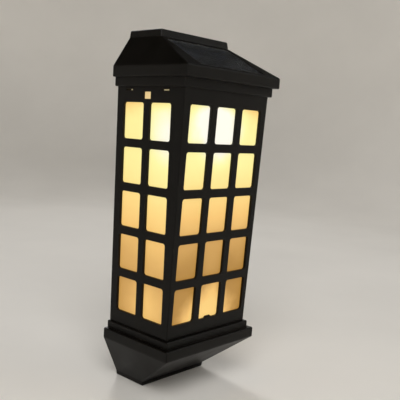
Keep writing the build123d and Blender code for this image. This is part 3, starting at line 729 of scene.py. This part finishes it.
# Black epoxy case with tinned leads: a dull black block and bright bent legs.
black_epoxy = moulded_plastic(
    "black_epoxy_case", "#161618", "#222226", patch=2 * mm, roughness=0.5, pit=0.4 * mm
)
tinned_lead = plated_metal("tinned_copper_lead", "#A8A9A6", "#D2D2CE", scratch=0.4 * mm, roughness=0.3)
low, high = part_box("driver_chip")
shape = bmesh.new()
case_gap = 0.15 * mm
case_round = 0.25 * mm
case_size = high - low - Vector((0, 0, case_gap))
case_middle = (low + high) / 2 + Vector((0, 0, case_gap / 2))
case = bmesh.ops.create_cube(shape, size=1.0)
bmesh.ops.scale(shape, verts=case["verts"], vec=case_size)
bmesh.ops.translate(shape, verts=case["verts"], vec=case_middle)
bmesh.ops.bevel(
    shape,
    geom=[edge for edge in shape.edges if edge.verts[0].co.z + edge.verts[1].co.z > 2 * case_middle.z],
    offset=case_round,
    affect="EDGES",
    segments=2,
    profile=0.5,
    material=-1,
)
legs_per_side = 4
leg_pitch = 1.2 * mm
leg_width = 0.4 * mm
leg_thick = 0.15 * mm
leg_root = 0.1 * mm
leg_reach = 0.9 * mm
leg_shoulder = 0.35 * leg_reach
leg_heel = 0.5 * leg_reach
for side in (-1, 1):
    edge_y = case_middle.y + side * case_size.y / 2
    for leg in range(legs_per_side):
        leg_x = case_middle.x + (leg - (legs_per_side - 1) / 2) * leg_pitch
        bends = [
            (edge_y - side * leg_root, case_middle.z),
            (edge_y + side * leg_shoulder, case_middle.z),
            (edge_y + side * leg_heel, low.z + leg_thick),
            (edge_y + side * leg_reach, low.z + leg_thick),
        ]
        line = [shape.verts.new((leg_x - leg_width / 2, y, z)) for y, z in bends]
        edges = [shape.edges.new(pair) for pair in zip(line, line[1:])]
        drawn = bmesh.ops.extrude_edge_only(shape, edges=edges)
        far_side = [item for item in drawn["geom"] if isinstance(item, bmesh.types.BMVert)]
        strip = [item for item in drawn["geom"] if isinstance(item, bmesh.types.BMFace)]
        bmesh.ops.translate(shape, verts=far_side, vec=(leg_width, 0, 0))
        bmesh.ops.recalc_face_normals(shape, faces=strip)
        thick = bmesh.ops.solidify(shape, geom=strip, thickness=leg_thick)
        for face in strip + [item for item in thick["geom"] if isinstance(item, bmesh.types.BMFace)]:
            face.material_index = 1
add_piece("legged_chip", shape, [black_epoxy, tinned_lead], "solar_head", "component_black", "driver_chip")

# Ferrite drum with an enamelled copper winding: a dark grey bobbin round bright, even turns.
ferrite = moulded_plastic(
    "sintered_ferrite", "#242426", "#343436", patch=1.5 * mm, roughness=0.6, pit=0.4 * mm
)
copper_winding, tree, shader, place = start_material("enamelled_copper_winding")
wire_turn = 0.4 * mm
wave_rate = 20 / (2 * pi)  # waves of the Wave node in one unit at a scale of 1
turns = add_node(
    tree,
    "ShaderNodeTexWave",
    {"bands_direction": "Z", "Scale": 1 / (wave_rate * wire_turn)},
    {"Vector": place},
)
copper_tone = add_node(
    tree,
    "ShaderNodeValToRGB",
    {"stops": ((0.0, "#5A2A14"), (1.0, "#B8683A"))},
    {"Fac": turns.outputs["Fac"]},
)
wound = add_node(
    tree,
    "ShaderNodeBump",
    {"Strength": 0.5, "Distance": 0.1 * mm},
    {"Height": turns.outputs["Fac"]},
)
tree.links.new(copper_tone.outputs["Color"], shader.inputs["Base Color"])
tree.links.new(wound.outputs["Normal"], shader.inputs["Normal"])
shader.inputs["Metallic"].default_value = 0.6
shader.inputs["Roughness"].default_value = 0.3
low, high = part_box("drum_coil")
drum_radius = (high.x - low.x) / 2
drum_height = high.z - low.z
cheek = 0.9 * mm
winding_sink = 0.35 * mm
winding_radius = drum_radius - winding_sink
upright_limit = 0.5
drum_seat = Vector(((low.x + high.x) / 2, (low.y + high.y) / 2, low.z))
shape = bmesh.new()
drum_outline = [
    (0.0, 0.0),
    (drum_radius, 0.0),
    (drum_radius, cheek),
    (winding_radius, cheek),
    (winding_radius, drum_height - cheek),
    (drum_radius, drum_height - cheek),
    (drum_radius, drum_height),
    (0.0, drum_height),
]
turn_about(shape, drum_outline, drum_seat, Vector((0, 0, 1)))
for face in shape.faces:
    face_height = face.calc_center_median().z - low.z
    if cheek < face_height < drum_height - cheek and abs(face.normal.z) < upright_limit:
        face.material_index = 1
add_piece("wound_drum", shape, [ferrite, copper_winding], "solar_head", "coil_copper", "drum_coil")

# Shrink sleeve and bare aluminium: a glossy blue skin, crimped near the foot, with a bright end.
blue_sleeve = moulded_plastic(
    "blue_shrink_sleeve", "#1E2C60", "#2A3D80", patch=3 * mm, roughness=0.3, pit=1.0 * mm
)
bare_aluminium = plated_metal("bare_aluminium", "#B4B6B8", "#D6D8DA", scratch=0.5 * mm, roughness=0.32)
low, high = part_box("storage_capacitor")
can_radius = (high.x - low.x) / 2
can_height = high.z - low.z
foot_radius = 0.85 * can_radius
foot_round = 0.2 * mm
crimp_radius = 0.88 * can_radius
crimp_height = 1.0 * mm
crimp_half = 0.3 * mm
shoulder_radius = 0.92 * can_radius
shoulder_drop = 0.4 * mm
end_radius = 0.75 * can_radius
end_sink = 0.1 * mm
flat_limit = 0.95
can_seat = Vector(((low.x + high.x) / 2, (low.y + high.y) / 2, low.z))
shape = bmesh.new()
can_outline = [
    (0.0, 0.0),
    (foot_radius, 0.0),
    (can_radius, foot_round),
    (can_radius, crimp_height - crimp_half),
    (crimp_radius, crimp_height),
    (can_radius, crimp_height + crimp_half),
    (can_radius, can_height - shoulder_drop),
    (shoulder_radius, can_height - end_sink),
    (end_radius, can_height),
    (end_radius, can_height - end_sink),
    (0.0, can_height - end_sink),
]
turn_about(shape, can_outline, can_seat, Vector((0, 0, 1)))
for face in shape.faces:
    in_top_half = face.calc_center_median().z > low.z + can_height / 2
    if in_top_half and abs(face.normal.z) > flat_limit:
        face.material_index = 1
add_piece(
    "crimped_capacitor",
    shape,
    [blue_sleeve, bare_aluminium],
    "solar_head",
    "capacitor_sleeve",
    "storage_capacitor",
)

# Battery: one rechargeable AA cell lies in an open black polypropylene holder on the tray.
# A flat plate and a bowed leaf, stamped from nickel-plated spring steel, press on its ends.

# Polypropylene: a dark, waxy black with a soft shine.
black_polypropylene = moulded_plastic(
    "black_polypropylene", "#101012", "#1C1C1E", patch=8 * mm, roughness=0.45, pit=0.8 * mm
)
dress(black_polypropylene, "battery_holder")

# Nickel plate: a warm, bright metal with fine draw marks.
nickel_plate = plated_metal("nickel_plated_steel", "#B4AEA2", "#D4CFC4", scratch=0.6 * mm, roughness=0.26)
dress(nickel_plate, "battery_plate", "battery_leaf")

# Shrink sleeve on steel: a glossy green skin that turns over the bright ends of the cell.
green_sleeve = moulded_plastic(
    "green_shrink_sleeve", "#26783F", "#34945A", patch=12 * mm, roughness=0.28, pit=1.4 * mm
)
low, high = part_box("battery_cell")
cell_radius = (high.z - low.z) / 2
nub_radius = 2.75 * mm
nub_length = 2.0 * mm
nub_round = 0.4 * mm
rim = 0.6 * mm
sleeve_end = 1.4 * mm
cell_end_sink = 0.3 * mm
can_length = high.x - low.x - nub_length
shape = bmesh.new()
cell_outline = [
    (0.0, cell_end_sink),
    (cell_radius - 2 * sleeve_end, cell_end_sink),
    (cell_radius - sleeve_end, 0.0),
    (cell_radius - rim, 0.0),
    (cell_radius, rim),
    (cell_radius, can_length - rim),
    (cell_radius - rim, can_length),
    (cell_radius - sleeve_end, can_length),
    (cell_radius - 2 * sleeve_end, can_length - cell_end_sink),
    (nub_radius, can_length - cell_end_sink),
    (nub_radius, can_length + nub_length - nub_round),
    (nub_radius - nub_round, can_length + nub_length),
    (0.0, can_length + nub_length),
]
cell_axis = Vector((low.x, (low.y + high.y) / 2, (low.z + high.z) / 2))
turn_about(shape, cell_outline, cell_axis, Vector((1, 0, 0)))
for face in shape.faces:
    centre = face.calc_center_median() - cell_axis
    if Vector((0, centre.y, centre.z)).length < cell_radius - sleeve_end:
        face.material_index = 1
add_piece("sleeved_cell", shape, [green_sleeve, nickel_plate], "solar_head", "cell_sleeve", "battery_cell")


# Wires: thin PVC-covered leads run from the panel, the battery and the switch to pads on the circuit board.
# Each leaves its contact in a straight run and bends once, straight down to its pad.
def bent_wire(shape, start, first_run, end_height):
    """Adds a round wire to a bmesh: a straight run from a point, one bend, then straight down to a height."""
    wire_radius = 0.55 * mm
    wire_sides = 12
    bend_radius = 2.0 * mm
    bend_steps = 8
    run = first_run.normalized()
    down = Vector((0, 0, -1))
    bend = run.angle(down)
    bend_axis = run.cross(down).normalized()
    inward = bend_axis.cross(run)
    setback = bend_radius * tan(bend / 2)
    circle = bmesh.ops.create_circle(shape, cap_ends=False, segments=wire_sides, radius=wire_radius)
    face_run = Vector((0, 0, 1)).rotation_difference(run).to_matrix().to_4x4()
    bmesh.ops.transform(shape, matrix=Matrix.Translation(start) @ face_run, verts=circle["verts"])
    first_ring = [edge for edge in shape.edges if edge.is_wire]
    drawn = bmesh.ops.extrude_edge_only(shape, edges=first_ring)
    ring_vertices = [item for item in drawn["geom"] if isinstance(item, bmesh.types.BMVert)]
    ring = [item for item in drawn["geom"] if isinstance(item, bmesh.types.BMEdge)]
    bend_start = start + run * (first_run.length - setback)
    bmesh.ops.translate(shape, verts=ring_vertices, vec=bend_start - start)
    turned = bmesh.ops.spin(
        shape,
        geom=ring_vertices + [edge for edge in ring if edge.is_boundary and edge not in first_ring],
        cent=bend_start + inward * bend_radius,
        axis=bend_axis,
        angle=bend,
        steps=bend_steps,
    )
    ring = [item for item in turned["geom_last"] if isinstance(item, bmesh.types.BMEdge)]
    drawn = bmesh.ops.extrude_edge_only(shape, edges=ring)
    ring_vertices = [item for item in drawn["geom"] if isinstance(item, bmesh.types.BMVert)]
    drop = (start + first_run).z - setback - end_height
    bmesh.ops.translate(shape, verts=ring_vertices, vec=down * drop)
    bmesh.ops.holes_fill(shape, edges=shape.edges)


# PVC insulation: a smooth, slightly soft skin in a plain colour.
red_pvc = moulded_plastic(
    "red_pvc_insulation", "#8C1616", "#A82020", patch=4 * mm, roughness=0.4, pit=0.8 * mm
)
black_pvc = moulded_plastic(
    "black_pvc_insulation", "#121212", "#1E1E1E", patch=4 * mm, roughness=0.4, pit=0.8 * mm
)
wire_half = 0.6 * mm  # half the width of the eight-sided lead in the CAD model
slope_turn = radians(27.3)  # the panel's leads leave square to the front slope of the roof
panel_run_length = 8 * mm
panel_run = Vector((0, sin(slope_turn), -cos(slope_turn))) * panel_run_length
for name, material, slot in (
    ("panel_wire_red", red_pvc, "wire_red"),
    ("panel_wire_black", black_pvc, "wire_black"),
):
    low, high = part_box(name)
    knee_y = high.y - wire_half
    start = Vector(((low.x + high.x) / 2, knee_y - panel_run.y, high.z - wire_half * sin(slope_turn)))
    shape = bmesh.new()
    bent_wire(shape, start, panel_run, low.z)
    add_piece("round_" + name, shape, [material], "solar_head", slot, name)
for name, material, slot in (
    ("battery_wire_red", red_pvc, "wire_red"),
    ("battery_wire_black", black_pvc, "wire_black"),
):
    low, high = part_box(name)
    start = Vector(((low.x + high.x) / 2, high.y, high.z - wire_half))
    shape = bmesh.new()
    bent_wire(shape, start, Vector((0, low.y + wire_half - high.y, 0)), low.z)
    add_piece("round_" + name, shape, [material], "solar_head", slot, name)
low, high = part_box("switch_wires")
shape = bmesh.new()
for x in (low.x + wire_half, high.x - wire_half):
    start = Vector((x, high.y, high.z - wire_half))
    bent_wire(shape, start, Vector((0, low.y + wire_half - high.y, 0)), low.z)
add_piece("round_switch_wires", shape, [red_pvc], "solar_head", "wire_red", "switch_wires")

# Switch: a small slide switch behind a recess in the back wall, with its case glued to the recess floor.
# Its white acetal knob slides across in a slot, and grooves on the end give the finger a grip.
dress(black_epoxy, "switch_case")

# Acetal: a clean, faintly waxy white.
white_acetal = moulded_plastic(
    "white_acetal", "#CFCEC8", "#E0DFDA", patch=1.5 * mm, roughness=0.4, pit=0.4 * mm
)
groove_depth = 0.2 * mm
grip_strips = 5  # every second one is a groove
low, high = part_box("switch_knob")
shape = bmesh.new()
knob = bmesh.ops.create_cube(shape, size=1.0)
bmesh.ops.scale(shape, verts=knob["verts"], vec=high - low)
bmesh.ops.translate(shape, verts=knob["verts"], vec=(low + high) / 2)
across = [edge for edge in shape.edges if abs(edge.verts[0].co.x - edge.verts[1].co.x) > groove_depth]
bmesh.ops.subdivide_edges(shape, edges=across, cuts=grip_strips - 1, use_grid_fill=True)
end_faces = [face for face in shape.faces if face.calc_center_median().y > high.y - groove_depth]
end_faces.sort(key=lambda face: face.calc_center_median().x)
grooves = bmesh.ops.extrude_discrete_faces(shape, faces=end_faces[1::2])
for face in grooves["faces"]:
    bmesh.ops.translate(shape, verts=face.verts, vec=(0, -groove_depth, 0))
add_piece("grooved_knob", shape, [white_acetal], "power_switch", "knob_white", "switch_knob")

# Studio: a round sheet of pale paper that curves up at its rim, so that every side has the same plain ground.
# Three soft boxes light it from above: a large strong one on the left, a weak one on the right, one behind.
floor_level = cad_box[0][2]
floor_radius = 1.1
rim_curve = 0.5
rim_height = 0.86
rim_steps = 12
ground_sides = 96
rim_turns = [step * pi / 2 / rim_steps for step in range(rim_steps + 1)]
rim_arc = [(floor_radius + rim_curve * sin(turn), rim_curve * (1 - cos(turn))) for turn in rim_turns]
ground_outline = [(0.0, 0.0)] + rim_arc + [(floor_radius + rim_curve, rim_height)]
shape = bmesh.new()
vertices = [shape.verts.new((radius, 0, floor_level + height)) for radius, height in ground_outline]
edges = [shape.edges.new(pair) for pair in zip(vertices, vertices[1:])]
bmesh.ops.spin(
    shape,
    geom=vertices + edges,
    cent=(0, 0, 0),
    axis=(0, 0, 1),
    angle=2 * pi,
    steps=ground_sides,
    use_merge=True,
)
bmesh.ops.remove_doubles(shape, verts=shape.verts, dist=merge_reach)
bmesh.ops.recalc_face_normals(shape, faces=shape.faces)
for face in shape.faces:
    face.smooth = True
ground_data = bpy.data.meshes.new("paper_ground")
shape.to_mesh(ground_data)
shape.free()
paper_ground = bpy.data.objects.new("paper_ground", ground_data)
bpy.context.scene.collection.objects.link(paper_ground)

# Matt paper: a pale warm grey with a hardly visible cloud.
matt_paper = moulded_plastic(
    "pale_matt_paper", "#E6E2DB", "#EBE7E0", patch=160 * mm, roughness=0.9, pit=2 * mm
)
ground_data.materials.append(matt_paper)

aim = Vector((0, -35 * mm, -60 * mm))
soft_boxes = (  # place and width in metres, power in watts
    ("key_box", (-0.9, -0.9, 1.1), 1.2, 20.0),
    ("fill_box", (1.1, -1.0, 0.9), 1.2, 6.0),
    ("back_box", (1.05, 1.55, 1.0), 0.5, 18.0),
)
for name, box_place, width, power in soft_boxes:
    lamp_data = bpy.data.lights.new(name, "AREA")
    lamp_data.size = width
    lamp_data.energy = power
    soft_box = bpy.data.objects.new(name, lamp_data)
    soft_box.location = box_place
    soft_box.rotation_euler = (aim - soft_box.location).to_track_quat("-Z", "Y").to_euler()
    bpy.context.scene.collection.objects.link(soft_box)
world = bpy.data.worlds.new("studio")
world.use_nodes = True
world.node_tree.nodes["Background"].inputs["Color"].default_value = linear("#B8B4AE")
world.node_tree.nodes["Background"].inputs["Strength"].default_value = 0.06
bpy.context.scene.world = world
bpy.context.scene.view_settings.view_transform = "Standard"

# Camera: in front of the light and to its left, a little under the eaves and rolled a few degrees.
# Its place and lens were fitted to the corners of the windows, so the light fills the frame as it should.
camera_data = bpy.data.cameras.new("camera")
camera_data.lens = 56.82
camera_data.sensor_width = 36.0
camera = bpy.data.objects.new("camera", camera_data)
camera_place = Vector((-364.4, -383.2, 4.3)) * mm
heading = Matrix.Rotation(-radians(47.49), 4, "Z")
pitch = Matrix.Rotation(radians(90 - 6.56), 4, "X")
roll = Matrix.Rotation(radians(3.63), 4, "Z")
camera.matrix_world = Matrix.Translation(camera_place) @ heading @ pitch @ roll
bpy.context.scene.collection.objects.link(camera)
bpy.context.scene.camera = camera
